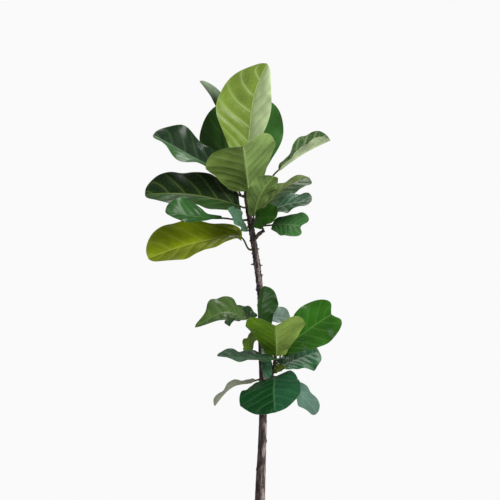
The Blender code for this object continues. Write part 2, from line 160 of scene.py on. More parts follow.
# The planter's profile, as radius and level: up its outside, over the rim and down its inside.
POT_TURN = [
    (0.098, 0.0000), (0.1005, 0.0006), (0.1022, 0.0022), (0.1031, 0.0045), (0.1060, 0.0250),
    (0.1160, 0.0850), (0.1265, 0.1450), (0.1370, 0.2080), (0.1390, 0.2400), (0.1396, 0.2440),
    (0.1410, 0.2456), (0.1430, 0.2461), (0.1441, 0.2472), (0.1448, 0.2500), (0.1478, 0.2640),
    (0.1492, 0.2740), (0.1490, 0.2775), (0.1478, 0.2794), (0.1455, 0.2800), (0.1415, 0.2800),
    (0.1385, 0.2793), (0.1366, 0.2778), (0.1360, 0.2755), (0.1290, 0.2400), (0.1150, 0.1600),
    (0.1030, 0.0900), (0.0960, 0.0200), (0.0945, 0.0150), (0.0905, 0.0120), (0.0450, 0.0120),
]
pot = turned("pot_shell", POT_TURN)
bpy.ops.object.shade_smooth_by_angle(angle=math.radians(50))

clay, tree, shader = new_material("fired clay", 0.78)
marks = add_node(
    tree, "Group", {"Blotch Scale": 9.0, "Pit Scale": 420.0, "Upright Stretch": 0.45}, node_tree=grain
)
body = blended(tree, marks.outputs["Blotches"], (0.42, 0.185, 0.095, 1), (0.54, 0.27, 0.16, 1))
body = blended(tree, marks.outputs["Pits"], body, (0.30, 0.125, 0.065, 1))
rise = add_node(tree, "SeparateXYZ", {0: add_node(tree, "TexCoord").outputs["Object"]}).outputs["Z"]
level_only = add_node(tree, "CombineXYZ", {"Z": rise}).outputs[0]
ringed = add_node(tree, "TexNoise", {"Vector": level_only, "Scale": 260.0})
foot_bloom = work_out(tree, "MULTIPLY", ramped(tree, rise, 0.05, 0.004), marks.outputs["Blotches"])
body = blended(tree, work_out(tree, "MULTIPLY", foot_bloom, 0.55), body, (0.72, 0.58, 0.48, 1))
tree.links.new(body, shader.inputs["Base Color"])
tree.links.new(ramped(tree, marks.outputs["Blotches"], 0.0, 1.0, 0.84, 0.70), shader.inputs["Roughness"])
relief = work_out(tree, "MULTIPLY_ADD", ringed.outputs["Fac"], 0.5, marks.outputs["Height"])
bump = add_node(tree, "Bump", {"Height": relief, "Strength": 0.35, "Distance": 0.0008})
tree.links.new(bump.outputs[0], shader.inputs["Normal"])
put_on(pot, clay)
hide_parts("pot")
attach(pot, "root")

# ---- The soil ---------------------------------------------------------------------------
# Loose potting mix pressed round the trunk's foot: dark peat crumbs, bark chips and a few grains
# of white perlite. It lies in the planter some fingers' breadth below the rim.
CRUMBS = 430
PERLITE_EVERY = 9
PERLITE_RADIUS = 0.0018
CRUMB_REACH = 0.123
CRUMB_LEVEL = 0.2385
CRUMB_HEAP = 0.0018
SOIL_EDGE = 0.1276
SOIL_TURN = [(0.0900, 0.0126), (0.0938, 0.0166), (0.1022, 0.0900), (0.1142, 0.1600), (SOIL_EDGE, 0.2360)]
SOIL_TURN += [(SOIL_EDGE - 0.0028 * k, 0.2362 + 0.0001 * k) for k in range(1, 39)]
soil = turned("soil_bed", SOIL_TURN)
chance = np.random.default_rng(7)
bed = [soil]
for i in range(CRUMBS):
    perlite = i % PERLITE_EVERY == 0
    reach = CRUMB_REACH * math.sqrt(chance.uniform(0.03, 1))
    bearing = chance.uniform(0, 2 * math.pi)
    size = chance.uniform(0.0012, 0.0036)
    level = CRUMB_LEVEL + CRUMB_HEAP * (1 - reach / CRUMB_REACH)
    spot = (reach * math.cos(bearing), reach * math.sin(bearing), level)
    bpy.ops.object.select_all(action="DESELECT")
    if perlite:
        bpy.ops.mesh.primitive_ico_sphere_add(subdivisions=2, radius=PERLITE_RADIUS, location=spot)
    else:
        bpy.ops.mesh.primitive_ico_sphere_add(subdivisions=1, radius=size, location=spot)
    crumb = bpy.context.object
    crumb.scale = (1, chance.uniform(0.5, 1.0), chance.uniform(0.3, 0.8))
    crumb.rotation_euler = (chance.uniform(-0.5, 0.5), chance.uniform(-0.5, 0.5), bearing * 3)
    kind = 1.0 if perlite else 0.4 + 0.3 * (i % 3 == 0)
    hold(crumb, "crumb_kind", np.full(len(crumb.data.vertices), kind))
    bed.append(crumb)
bpy.ops.object.select_all(action="DESELECT")
for piece in bed:
    piece.select_set(True)
bpy.context.view_layer.objects.active = soil
bpy.ops.object.transform_apply(location=True, rotation=True, scale=True)
bpy.ops.object.join()

mix, tree, shader = new_material("potting mix", 0.95)
marks = add_node(
    tree, "Group", {"Blotch Scale": 60.0, "Pit Scale": 600.0, "Upright Stretch": 1.0}, node_tree=grain
)
kind = add_node(tree, "Attribute", attribute_name="crumb_kind").outputs["Fac"]
peat = blended(tree, marks.outputs["Blotches"], (0.018, 0.011, 0.007, 1), (0.050, 0.030, 0.019, 1))
peat = blended(tree, ramped(tree, kind, 0.5, 0.6), peat, (0.105, 0.058, 0.030, 1))
peat = blended(tree, ramped(tree, kind, 0.85, 0.95), peat, (0.70, 0.69, 0.65, 1))
tree.links.new(peat, shader.inputs["Base Color"])
bump = add_node(tree, "Bump", {"Height": marks.outputs["Height"], "Strength": 0.8, "Distance": 0.001})
tree.links.new(bump.outputs[0], shader.inputs["Normal"])
put_on(soil, mix)
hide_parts("potting_soil")
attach(soil, "root")

# ---- The trunk --------------------------------------------------------------------------
# One woody stem with a spur and a side shoot, thick at the soil and pencil thin at the crown. Its bark
# is smooth below, and above dark and ringed with the scars of fallen leaves. Its side to the light, at
# +X, is painted pale as painted light; the rest is painted dark as painted shade, darkest under the crown.
TRUNK = [
    ((0.000, 0.000, 0.130), 0.0185),
    ((0.000, 0.000, 0.250), 0.0180),
    ((0.000, 0.000, 0.360), 0.0165),
    ((0.006, 0.000, 0.520), 0.0135),
    ((0.010, 0.000, 0.680), 0.0120),
    ((0.005, 0.000, 0.872), 0.0108),
    ((0.000, 0.000, 1.032), 0.0100),
    ((-0.013, 0.000, 1.138), 0.0098),
    ((-0.025, 0.000, 1.214), 0.0096),
    ((-0.038, 0.000, 1.291), 0.0082),
    ((-0.045, 0.000, 1.336), 0.0066),
    ((-0.046, 0.000, 1.362), 0.0048),
]
SPUR = [
    ((-0.018, 0.000, 1.194), 0.0058),
    ((-0.002, -0.008, 1.212), 0.0054),
    ((0.013, -0.016, 1.222), 0.0048),
]
SHOOT = [
    ((0.009, 0.000, 0.735), 0.0075),
    ((0.028, -0.012, 0.752), 0.0070),
    ((0.043, -0.020, 0.780), 0.0062),
    ((0.048, -0.024, 0.828), 0.0052),
]
# Old leaf scars: height, the way each looks round the stem in degrees (0 is +X, 270 the front), size.
SCARS = [
    (1.172, 250, 1.0), (1.160, 40, 0.9), (1.150, 160, 1.1), (1.137, 280, 1.0), (1.127, 20, 1.2),
    (1.117, 195, 1.3), (1.108, 330, 1.1), (1.097, 90, 1.0), (1.086, 215, 1.0), (1.075, 350, 1.2),
    (1.062, 140, 0.9), (1.048, 265, 1.0), (1.035, 185, 1.5), (1.020, 30, 1.0), (1.004, 300, 1.0),
    (0.985, 160, 0.9), (0.962, 240, 0.8), (0.905, 20, 0.7), (0.720, 200, 0.7), (0.612, 300, 0.7),
    (0.550, 8, 1.2), (0.458, 186, 1.2), (0.410, 280, 0.7), (0.330, 60, 0.6),
]
# Dead stubs left by fallen leaves: height, the way each looks, how far it stands out, half its width.
# Their width is laid off round a stem of this girth.
STUB_GIRTH = 0.011
STUBS = [
    (1.160, 12, 0.0050, 0.0026), (1.146, 232, 0.0030, 0.0024), (1.113, 184, 0.0088, 0.0026),
    (1.106, 6, 0.0080, 0.0018), (1.092, 300, 0.0028, 0.0030), (1.078, 358, 0.0036, 0.0030),
    (1.057, 200, 0.0030, 0.0026), (1.034, 183, 0.0046, 0.0016), (1.010, 345, 0.0026, 0.0028),
    (0.985, 205, 0.0024, 0.0022), (1.190, 186, 0.0034, 0.0026), (1.236, 170, 0.0032, 0.0028),
]


def smoothstep(low, high, x):
    """Eases from 0 where x is low to 1 where it is high."""
    t = np.clip((x - low) / (high - low), 0.0, 1.0)
    return t * t * (3 - 2 * t)


def unit(v):
    """The vectors at length 1."""
    v = np.asarray(v, float)
    return v / np.linalg.norm(v, axis=-1, keepdims=True)


def smooth_path(points, count=400):
    """A smooth curve through the points, as many close points and their distance along it."""
    p = np.array(points, float)
    chord = np.linalg.norm(np.diff(p, axis=0), axis=1)
    knot = np.concatenate([[0], np.cumsum(chord)])
    slope = np.diff(p, axis=0) / chord[:, None]
    tangent = np.empty_like(p)
    weighted = slope[:-1] * chord[1:, None] + slope[1:] * chord[:-1, None]
    tangent[1:-1] = weighted / (chord[:-1] + chord[1:])[:, None]
    tangent[0] = 1.5 * slope[0] - 0.5 * tangent[1]
    tangent[-1] = 1.5 * slope[-1] - 0.5 * tangent[-2]
    at = np.linspace(0, knot[-1], count)
    i = np.clip(np.searchsorted(knot, at, side="right") - 1, 0, len(chord) - 1)
    h = chord[i][:, None]
    t = ((at - knot[i]) / chord[i])[:, None]
    curve = (2 * t**3 - 3 * t**2 + 1) * p[i] + (t**3 - 2 * t**2 + t) * h * tangent[i]
    curve += (-2 * t**3 + 3 * t**2) * p[i + 1] + (t**3 - t**2) * h * tangent[i + 1]
    step = np.linalg.norm(np.diff(curve, axis=0), axis=1)
    return curve, np.concatenate([[0], np.cumsum(step)])


def stem_line(stem, count=400):
    """The middle line of a stem as close points, its direction and its radius at each."""
    line, along = smooth_path([p for p, r in stem], count)
    given = np.array([p for p, r in stem], float)
    where = [along[np.argmin(np.linalg.norm(line - p, axis=1))] for p in given]
    radius = np.interp(along, where, [r for p, r in stem])
    return line, unit(np.gradient(line, axis=0)), radius


def close_skin(name, rows):
    """A closed skin from rows of points round it: a grid whose sides meet and whose ends are poles."""
    tall, girth = rows.shape[0], rows.shape[1]
    bpy.ops.object.select_all(action="DESELECT")
    bpy.ops.mesh.primitive_grid_add(x_subdivisions=girth, y_subdivisions=tall + 1, size=2, calc_uvs=True)
    obj = bpy.context.object
    obj.name = name
    mesh = obj.data
    mesh.uv_layers[0].name = "OFBake"
    flat = np.empty(len(mesh.vertices) * 3)
    mesh.vertices.foreach_get("co", flat)
    flat = flat.reshape(-1, 3)
    column = np.rint((flat[:, 0] + 1) / 2 * girth).astype(int) % girth
    row = np.rint((flat[:, 1] + 1) / 2 * (tall + 1)).astype(int)
    inner = np.clip(row - 1, 0, tall - 1)
    placed = rows[inner, column]
    placed[row == 0] = rows[0].mean(axis=0)
    placed[row == tall + 1] = rows[-1].mean(axis=0)
    mesh.vertices.foreach_set("co", placed.ravel())
    return obj, inner, column


def knit(obj, angle=50):
    """Closes the grid's side seam and poles, and smooths it but for its sharp edges."""
    bpy.ops.object.mode_set(mode="EDIT")
    bpy.ops.mesh.select_all(action="SELECT")
    bpy.ops.mesh.remove_doubles(threshold=0.000002)
    bpy.ops.mesh.normals_make_consistent(inside=False)
    bpy.ops.object.mode_set(mode="OBJECT")
    bpy.ops.object.shade_smooth_by_angle(angle=math.radians(angle))


def stem_skin(name, stem, rows, sides, scars, rough_from, rough_to):
    """Bark round a stem: ridged, ringed by scars, rougher where it is old and dark."""
    line, direction, radius = stem_line(stem, rows)
    turn = np.linspace(0, 2 * math.pi, sides, endpoint=False)[None, :]
    across = unit(np.cross((0, 1, 0), direction))
    third = np.cross(direction, across)
    level = line[:, 2][:, None]
    rough = smoothstep(rough_from, rough_from + 0.10, level)
    rough = rough * (1 - smoothstep(rough_to, rough_to + 0.06, level))
    swell = 0.00025 * np.sin(5 * turn + 14 * level) + 0.00018 * np.sin(9 * turn - 31 * level + 1)
    swell = swell + 0.00014 * np.sin(3 * turn + 210 * level) + 0.00010 * np.sin(14 * turn + 95 * level)
    ruts = np.abs(np.sin(6 * turn + 46 * level + 2 * np.sin(3 * turn + 130 * level)))
    swell = swell + rough * (0.0013 * ruts - 0.0007 + 0.0005 * np.sin(2 * turn + 520 * level))
    for scar_level, looks, size in scars:
        off = (turn - math.radians(looks) + math.pi) % (2 * math.pi) - math.pi
        rise = level - scar_level
        near = np.exp(-((off / 0.55) ** 2) - (rise / (0.0042 * size)) ** 2)
        ring = np.exp(-((rise / 0.0016) ** 2)) * (0.4 + 0.6 * np.exp(-((off / 1.6) ** 2)))
        dip = np.exp(-((off / 0.26) ** 2) - ((rise - 0.0010) / (0.0019 * size)) ** 2)
        swell = swell + size * (0.0021 * near - 0.0013 * dip) + 0.0006 * ring
    for stub_level, looks, length, width in STUBS:
        off = (turn - math.radians(looks) + math.pi) % (2 * math.pi) - math.pi
        rise = level - stub_level - 0.4 * length
        swell = swell + length * np.exp(-(((off * STUB_GIRTH / width) ** 2 + (rise / width) ** 2) ** 1.6))
    girth = radius[:, None] + swell
    rows_of = line[:, None, :] + girth[..., None] * (
        across[:, None, :] * np.cos(turn)[..., None] + third[:, None, :] * np.sin(turn)[..., None]
    )
    return close_skin(name, rows_of)[0]


trunk = stem_skin("trunk_bark", TRUNK, 960, 64, SCARS, 0.90, 1.30)
knit(trunk, 60)
SPUR_SCARS = [(1.204, 200, 0.6), (1.215, 320, 0.6)]
SHOOT_SCARS = [(0.762, 300, 0.7), (0.790, 30, 0.7), (0.812, 200, 0.6)]
limbs = [
    stem_skin("spur_bark", SPUR, 40, 36, SPUR_SCARS, 0.90, 1.30),
    stem_skin("shoot_bark", SHOOT, 90, 36, SHOOT_SCARS, 0.60, 1.30),
]
for limb in limbs:
    bpy.ops.object.select_all(action="DESELECT")
    limb.select_set(True)
    bpy.context.view_layer.objects.active = limb
    knit(limb, 60)
    graft = trunk.modifiers.new("graft", "BOOLEAN")
    graft.operation = "UNION"
    graft.solver = "EXACT"
    graft.object = limb
    bpy.ops.object.select_all(action="DESELECT")
    trunk.select_set(True)
    bpy.context.view_layer.objects.active = trunk
    bpy.ops.object.modifier_apply(modifier="graft")
    bpy.data.objects.remove(limb, do_unlink=True)
bpy.ops.object.shade_smooth_by_angle(angle=math.radians(60))

# How far each spot looks to the light, for the bark's painted light: 1 on the stem's +X side, -1 on
# the other. A spot this many radii from the stem's middle is on a limb, which is not painted lit.
LIMB_BEYOND = 1.9
LIMB_SUNWARD = -0.2
spots = np.empty(len(trunk.data.vertices) * 3)
trunk.data.vertices.foreach_get("co", spots)
spots = spots.reshape(-1, 3)
line, direction, radius = stem_line(TRUNK)
middle = np.interp(spots[:, 2], line[:, 2], line[:, 0])
sunward = (spots[:, 0] - middle) / np.interp(spots[:, 2], line[:, 2], radius)
hold(trunk, "sunward", np.where(sunward > LIMB_BEYOND, LIMB_SUNWARD, np.clip(sunward, -1, 1)))

bark, tree, shader = new_material("fig bark", 0.8)
marks = add_node(
    tree, "Group", {"Blotch Scale": 120.0, "Pit Scale": 520.0, "Upright Stretch": 0.26}, node_tree=grain
)
place = add_node(tree, "TexCoord").outputs["Object"]
level = add_node(tree, "SeparateXYZ", {0: place}).outputs["Z"]
# Patches and flecks are drawn out along the stem: they are laid off in shares of the trunk's own box.
low, high = spots.min(axis=0), spots.max(axis=0)
shares = {0: place, 1: tuple(1 / (high - low)), 2: tuple(-low / (high - low))}
boxed = add_node(tree, "VectorMath", shares, operation="MULTIPLY_ADD").outputs[0]
old = work_out(tree, "MULTIPLY", ramped(tree, level, 0.88, 1.03), ramped(tree, level, 1.36, 1.30))
# Painted shade: the bark's smooth and rough colours are laid dark, as its side away from the light.
shaded_smooth_bark = blended(tree, marks.outputs["Blotches"], (0.014, 0.006, 0.006, 1), (0.092, 0.052, 0.051, 1))
shaded_rough_bark = blended(tree, marks.outputs["Blotches"], (0.003, 0.002, 0.002, 1), (0.150, 0.098, 0.093, 1))
colour = blended(tree, old, shaded_smooth_bark, shaded_rough_bark)
# Painted light: the bark's side to the light, at +X, is laid pale in blotches, broken into patches, over
# the shaded bark.
mottled = blended(tree, marks.outputs["Blotches"], (0.060, 0.043, 0.041, 1), (0.450, 0.375, 0.360, 1))
patchy = add_node(tree, "TexNoise", {"Vector": boxed, "Scale": 60.0, "Detail": 3.0}).outputs["Fac"]
painted_lit_side = add_node(tree, "Attribute", attribute_name="sunward").outputs["Fac"]
painted_lit_side = work_out(tree, "ADD", painted_lit_side, work_out(tree, "MULTIPLY_ADD", patchy, 1.8, -0.9))
# Painted shade under the crown: the painted lit side fades out there, so the bark under the leaves stays
# dark.
below_crown = ramped(tree, level, 1.20, 1.14, 0.10, 1.0)
painted_lit_side = work_out(tree, "MULTIPLY", ramped(tree, painted_lit_side, 0.00, 0.36), below_crown)
colour = blended(tree, painted_lit_side, colour, mottled)
flecks = add_node(tree, "TexVoronoi", {"Vector": boxed, "Scale": 210.0})
lenticels = ramped(tree, flecks.outputs["Distance"], 0.20, 0.12)
colour = blended(tree, work_out(tree, "MULTIPLY", lenticels, 0.5), colour, (0.34, 0.27, 0.235, 1))
pitted = work_out(tree, "MULTIPLY", marks.outputs["Pits"], 0.7)
colour = blended(tree, pitted, colour, (0.016, 0.010, 0.008, 1))
green = ramped(tree, level, 1.325, 1.362)
colour = blended(tree, work_out(tree, "MULTIPLY", green, 0.8), colour, (0.10, 0.13, 0.035, 1))
tree.links.new(colour, shader.inputs["Base Color"])
bump = add_node(tree, "Bump", {"Height": marks.outputs["Height"], "Strength": 0.9, "Distance": 0.0012})
tree.links.new(bump.outputs[0], shader.inputs["Normal"])
put_on(trunk, bark)
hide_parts("trunk")
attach(trunk, "root")

# ---- The terminal bud -------------------------------------------------------------------
# The next leaf, still rolled up: a pointed green bud in a thin brown-edged sheath on the stem's top.
BUD_RADIUS = 0.0052
BUD_LENGTH = 0.0298
BUD_LEAN = 0.004
rise = np.linspace(0, 1, 48)[:, None]
turn = np.linspace(0, 2 * math.pi, 40, endpoint=False)[None, :]
girth = BUD_RADIUS * (0.80 + 0.9 * rise - 1.62 * rise**2) * (1 + 0.05 * np.cos(5 * turn + 5 * rise))
girth = girth * (1 - 0.10 * np.exp(-(((turn - 4.4 + 2.4 * rise) / 0.22) ** 2)))
foot = (-0.046, 0.000, 1.3622)
bud_x = foot[0] + girth * np.cos(turn) - BUD_LEAN * rise**2
bud_y = foot[1] + girth * np.sin(turn)
bud_z = foot[2] + BUD_LENGTH * rise + 0 * turn
bud = close_skin("bud_sheath", np.stack([bud_x, bud_y, bud_z], axis=-1))[0]
knit(bud, 60)
sheath, tree, shader = new_material("bud sheath", 0.5)
marks = add_node(
    tree, "Group", {"Blotch Scale": 190.0, "Pit Scale": 900.0, "Upright Stretch": 0.25}, node_tree=grain
)
level = add_node(tree, "SeparateXYZ", {0: add_node(tree, "TexCoord").outputs["Object"]}).outputs["Z"]
colour = blended(tree, ramped(tree, level, 1.362, 1.392), (0.20, 0.155, 0.060, 1), (0.32, 0.45, 0.105, 1))
browned = work_out(tree, "MULTIPLY", marks.outputs["Blotches"], 0.4)
colour = blended(tree, browned, colour, (0.16, 0.085, 0.035, 1))
tree.links.new(colour, shader.inputs["Base Color"])
put_on(bud, sheath)
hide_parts("terminal_bud")
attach(bud, "root")

# ---- The leaves -------------------------------------------------------------------------
# Thirty leathery leaves, each one grown piece: a short round stalk that runs on as the pale midrib of a
# broad fiddle-shaped blade, sunken along its side veins and ruffled at the margin. The stalks grow from
# the bark in a rising spiral. Young blades are lime, old ones dark and glossy, undersides pale and dull.
BLADE_THICKNESS = 0.0011
STALK_RADIUS = 0.0028
SEAT_DEPTH = 0.0012
SEAT_STRAIGHT = 0.007
RUFFLE_HEIGHT = 0.0009
PILLOW_HEIGHT = 0.021
SIDE_RIB_DEPTH = 0.0007
RIB_HALF_WIDTH = 0.0028
# How the side veins run: the power of their bow, how far they sweep towards the tip, how much less
# they do so there, and how far one side's are set off from the other's, as a share of their spacing.
VEIN_BOW = 1.2
VEIN_SWEEP = 0.32
VEIN_SWEEP_LOSS = 0.12
VEIN_STAGGER = 0.45

# What every leaf has unless its own line says otherwise: the half-widths' share of the width,
# the lift of each half from the midrib and its further curl (degrees), the wave of the margin,
# the dent at the tip, the lobes behind the stalk, the waist, and the width near the stalk.
USUAL = dict(
    width=0.08, left=1.0, right=1.0, fold=(15, 15), curl=(0, 0),
    wave=0.006, waves=2.5, phase=0.0, notch=0.0, lobe=0.012, waist=0.04,
    peak=0.0, base=0.60, tip=2.3,
)

# Each leaf: where its stalk leaves the wood, the stalk's end, the middle and the tip of the
# midrib; the way its upper face looks; then its own proportions.
LEAVES = {
    "crown_leaf_01": dict(
        rib=[(-0.044, 0.002, 1.345), (-0.042, 0.020, 1.410), (-0.030, 0.045, 1.560),
             (-0.012, 0.050, 1.675), (0.014, 0.045, 1.741)],
        face=(0, -1, 0), width=0.122, fold=(0, 58), curl=(12, -25), right=0.72, tip=1.95,
        notch=-0.024),
    "crown_leaf_02": dict(
        rib=[(-0.042, -0.005, 1.318), (-0.037, -0.020, 1.345), (-0.045, -0.100, 1.420),
             (-0.054, -0.180, 1.485)],
        face=(0.1, 0.7, 0.7), width=0.125, fold=(40, 2), curl=(10, -24), notch=0.012,
        base=0.72),
    "crown_leaf_03": dict(
        rib=[(-0.042, 0.010, 1.335), (-0.031, 0.055, 1.382), (-0.005, 0.108, 1.500),
             (0.012, 0.120, 1.655)],
        face=(0, -1, 0.1), width=0.078, fold=(10, 10)),
    "crown_leaf_04": dict(
        rib=[(-0.046, 0.010, 1.330), (-0.080, 0.050, 1.375), (-0.116, 0.145, 1.500),
             (-0.114, 0.185, 1.650)],
        face=(0, -1, 0.1), width=0.085, fold=(10, 10), waist=0.10, tip=1.9),
    "crown_leaf_05": dict(
        rib=[(-0.046, 0.008, 1.356), (-0.064, 0.052, 1.420), (-0.118, 0.108, 1.600),
             (-0.197, 0.118, 1.716)],
        face=(0.5, -0.8, 0.2), width=0.035, fold=(50, 50), lobe=0.004),
    "crown_leaf_06": dict(
        rib=[(-0.046, 0.000, 1.335), (-0.095, 0.010, 1.385), (-0.220, 0.010, 1.460),
             (-0.342, 0.000, 1.528)],
        face=(0.1, -0.57, 0.82), width=0.088, fold=(20, 20), wave=0.014, waves=2.0, phase=3.2),
    "crown_leaf_07": dict(
        rib=[(-0.042, -0.005, 1.298), (-0.060, -0.012, 1.298), (-0.220, -0.030, 1.335),
             (-0.365, -0.040, 1.336)],
        face=(0.05, -0.6, 0.8), width=0.095, fold=(16, 16), base=1.0),
    "crown_leaf_08": dict(
        rib=[(-0.036, -0.006, 1.258), (-0.118, -0.077, 1.260), (-0.200, -0.144, 1.262),
             (-0.291, -0.176, 1.279)],
        face=(0.1, -0.85, 0.52), width=0.062, left=0.42, fold=(8, 6), base=0.25, peak=0.04),
    "crown_leaf_09": dict(
        rib=[(-0.030, -0.008, 1.232), (-0.042, -0.040, 1.231), (-0.070, -0.095, 1.258),
             (-0.101, -0.140, 1.286)],
        face=(0.45, -0.7, 0.5), width=0.036, fold=(5, 5), base=0.95, peak=-0.3, tip=1.5),
    "crown_leaf_10": dict(
        rib=[(-0.020, -0.008, 1.162), (-0.056, -0.022, 1.197), (-0.190, -0.050, 1.185),
             (-0.350, -0.090, 1.133)],
        face=(0.1, -0.62, 0.78), width=0.095, fold=(20, 20)),
    "crown_leaf_11": dict(
        rib=[(-0.036, 0.008, 1.325), (0.060, 0.040, 1.418), (0.130, 0.050, 1.468),
             (0.228, 0.050, 1.516)],
        face=(-0.35, -0.17, 0.92), width=0.066, right=0.68, fold=(50, 42), base=0.35,
        peak=0.05, lobe=0.004),
    "crown_leaf_12": dict(
        rib=[(-0.030, -0.007, 1.244), (-0.020, -0.032, 1.268), (0.000, -0.090, 1.332),
             (0.042, -0.140, 1.387)],
        face=(-0.2, 0.6, 0.75), width=0.048, fold=(15, 15)),
    "crown_leaf_13": dict(
        rib=[(-0.030, -0.001, 1.270), (0.000, 0.002, 1.286), (0.080, 0.026, 1.360),
             (0.160, 0.045, 1.394)],
        face=(-0.1, -0.5, 0.86), width=0.070, right=0.6, fold=(-15, -6), tip=4.5),
    "crown_leaf_14": dict(
        rib=[(-0.028, -0.004, 1.256), (0.006, -0.030, 1.271), (0.090, -0.064, 1.304),
             (0.160, -0.090, 1.314)],
        face=(-0.1, -0.45, 0.89), width=0.066, fold=(5, 5), base=0.8),
    "crown_leaf_15": dict(
        rib=[(-0.022, -0.010, 1.232), (-0.018, -0.052, 1.252), (0.014, -0.115, 1.262),
             (0.049, -0.168, 1.262)],
        face=(-0.25, -0.85, 0.45), width=0.044, fold=(5, 5), base=1.0),
    "crown_leaf_16": dict(
        rib=[(0.014, -0.018, 1.226), (0.037, -0.030, 1.239), (0.090, -0.060, 1.240),
             (0.150, -0.090, 1.228)],
        face=(-0.05, -0.72, 0.69), width=0.066, left=0.82, fold=(8, 8), base=0.65,
        notch=0.026, lobe=0.004, waves=1.6),
    "lower_leaf_01": dict(
        rib=[(-0.006, -0.008, 0.935), (-0.045, -0.020, 0.943), (-0.110, -0.047, 0.962),
             (-0.154, -0.065, 0.945)],
        face=(0.1, -0.56, 0.82), width=0.066, left=0.75, fold=(14, 14), tip=2.3, peak=-0.1,
        notch=-0.060),
    "lower_leaf_02": dict(
        rib=[(-0.002, 0.010, 0.935), (-0.020, 0.030, 0.940), (-0.060, 0.080, 0.945),
             (-0.110, 0.120, 0.935)],
        face=(0.1, -0.7, 0.64), width=0.050, fold=(8, 8)),
    "lower_leaf_03": dict(
        rib=[(0.008, -0.010, 0.870), (0.014, -0.025, 0.900), (0.006, -0.035, 0.970),
             (0.016, -0.025, 1.045)],
        face=(-0.3, -0.95, 0), width=0.052, fold=(60, 0), left=0.4),
    "lower_leaf_04": dict(
        rib=[(0.047, -0.030, 0.815), (0.050, -0.050, 0.825), (0.048, -0.130, 0.890),
             (0.045, -0.215, 0.945)],
        face=(0, 0.5, 0.87), width=0.100, fold=(20, 20), notch=0.03),
    "lower_leaf_05": dict(
        rib=[(0.052, -0.020, 0.810), (0.065, -0.030, 0.828), (0.150, -0.040, 0.905),
             (0.252, -0.040, 0.972)],
        face=(0.1, -0.9, 0.3), width=0.073, fold=(8, 8), notch=0.03),
    "lower_leaf_06": dict(
        rib=[(0.043, -0.030, 0.800), (0.058, -0.078, 0.816), (-0.038, -0.112, 0.822),
             (-0.134, -0.120, 0.832)],
        face=(0, -0.14, 0.99), width=0.075, fold=(8, 8), base=0.75),
    "lower_leaf_07": dict(
        rib=[(-0.002, 0.010, 0.885), (-0.015, 0.030, 0.893), (-0.028, 0.080, 0.872),
             (-0.034, 0.130, 0.822)],
        face=(-0.2, -0.3, 0.9), width=0.028, fold=(10, 10)),
    "lower_leaf_08": dict(
        rib=[(0.008, -0.011, 0.850), (0.010, -0.027, 0.846), (0.018, -0.045, 0.806),
             (0.023, -0.050, 0.755)],
        face=(0.2, -0.95, 0.1), width=0.020, fold=(25, 25)),
    "lower_leaf_09": dict(
        rib=[(0.043, -0.020, 0.774), (0.050, -0.044, 0.773), (0.062, -0.052, 0.784),
             (0.074, -0.060, 0.795)],
        face=(-0.3, 0.7, 0.6), width=0.024, fold=(15, 15), lobe=0.002, wave=0.002),
    "lower_leaf_10": dict(
        rib=[(0.048, -0.015, 0.778), (0.072, 0.006, 0.788), (0.124, 0.034, 0.808),
             (0.192, 0.050, 0.832)],
        face=(0, -0.6, 0.8), width=0.074, fold=(5, 5), base=0.55),
    "lower_leaf_11": dict(
        rib=[(0.034, -0.015, 0.758), (0.042, -0.055, 0.758), (0.042, -0.160, 0.728),
             (0.044, -0.240, 0.672)],
        face=(-0.2, -0.45, 0.85), width=0.098, fold=(5, -6), left=0.85, right=1.14, base=0.95,
        lobe=0.03),
    "lower_leaf_12": dict(
        rib=[(0.034, -0.015, 0.758), (0.060, 0.016, 0.750), (0.120, 0.050, 0.702),
             (0.186, 0.060, 0.630)],
        face=(0.3, -0.6, 0.7), width=0.046, fold=(8, 8), base=0.45),
    "lower_leaf_13": dict(
        rib=[(-0.002, -0.006, 0.745), (-0.022, -0.020, 0.742), (-0.085, -0.050, 0.731),
             (-0.143, -0.070, 0.670)],
        face=(-0.2, 0.25, 0.95), width=0.050, fold=(12, 12)),
    "lower_leaf_14": dict(
        rib=[(0.008, 0.010, 0.930), (0.020, 0.030, 0.936), (0.060, 0.080, 0.940),
             (0.102, 0.110, 0.930)],
        face=(0, -0.75, 0.66), width=0.052, fold=(8, 8)),
}
slot_of = dict.fromkeys(LEAVES, "leaf_deep")
for slot, names in (
    ("leaf_young", ("crown_leaf_01", "crown_leaf_02", "crown_leaf_12", "lower_leaf_04")),
    ("leaf_yellow_green", ("crown_leaf_10", "lower_leaf_07", "lower_leaf_09")),
    ("leaf_bright", ("crown_leaf_11", "lower_leaf_01", "lower_leaf_05")),
):
    slot_of.update(dict.fromkeys(names, slot))


def seat(stems, start, toward):
    """Two points where a stalk leaves the bark nearest to its start: at the skin and just off it."""
    best = None
    for line, direction, radius in stems:
        i = int(np.argmin(np.linalg.norm(line - start, axis=1)))
        gap = np.linalg.norm(line[i] - start)
        if best is None or gap < best[0]:
            best = (gap, line[i], direction[i], radius[i])
    gap, middle, direction, radius = best
    out = toward - middle
    out = unit(out - out.dot(direction) * direction)
    return middle + out * (radius - SEAT_DEPTH), middle + out * (radius + SEAT_STRAIGHT)


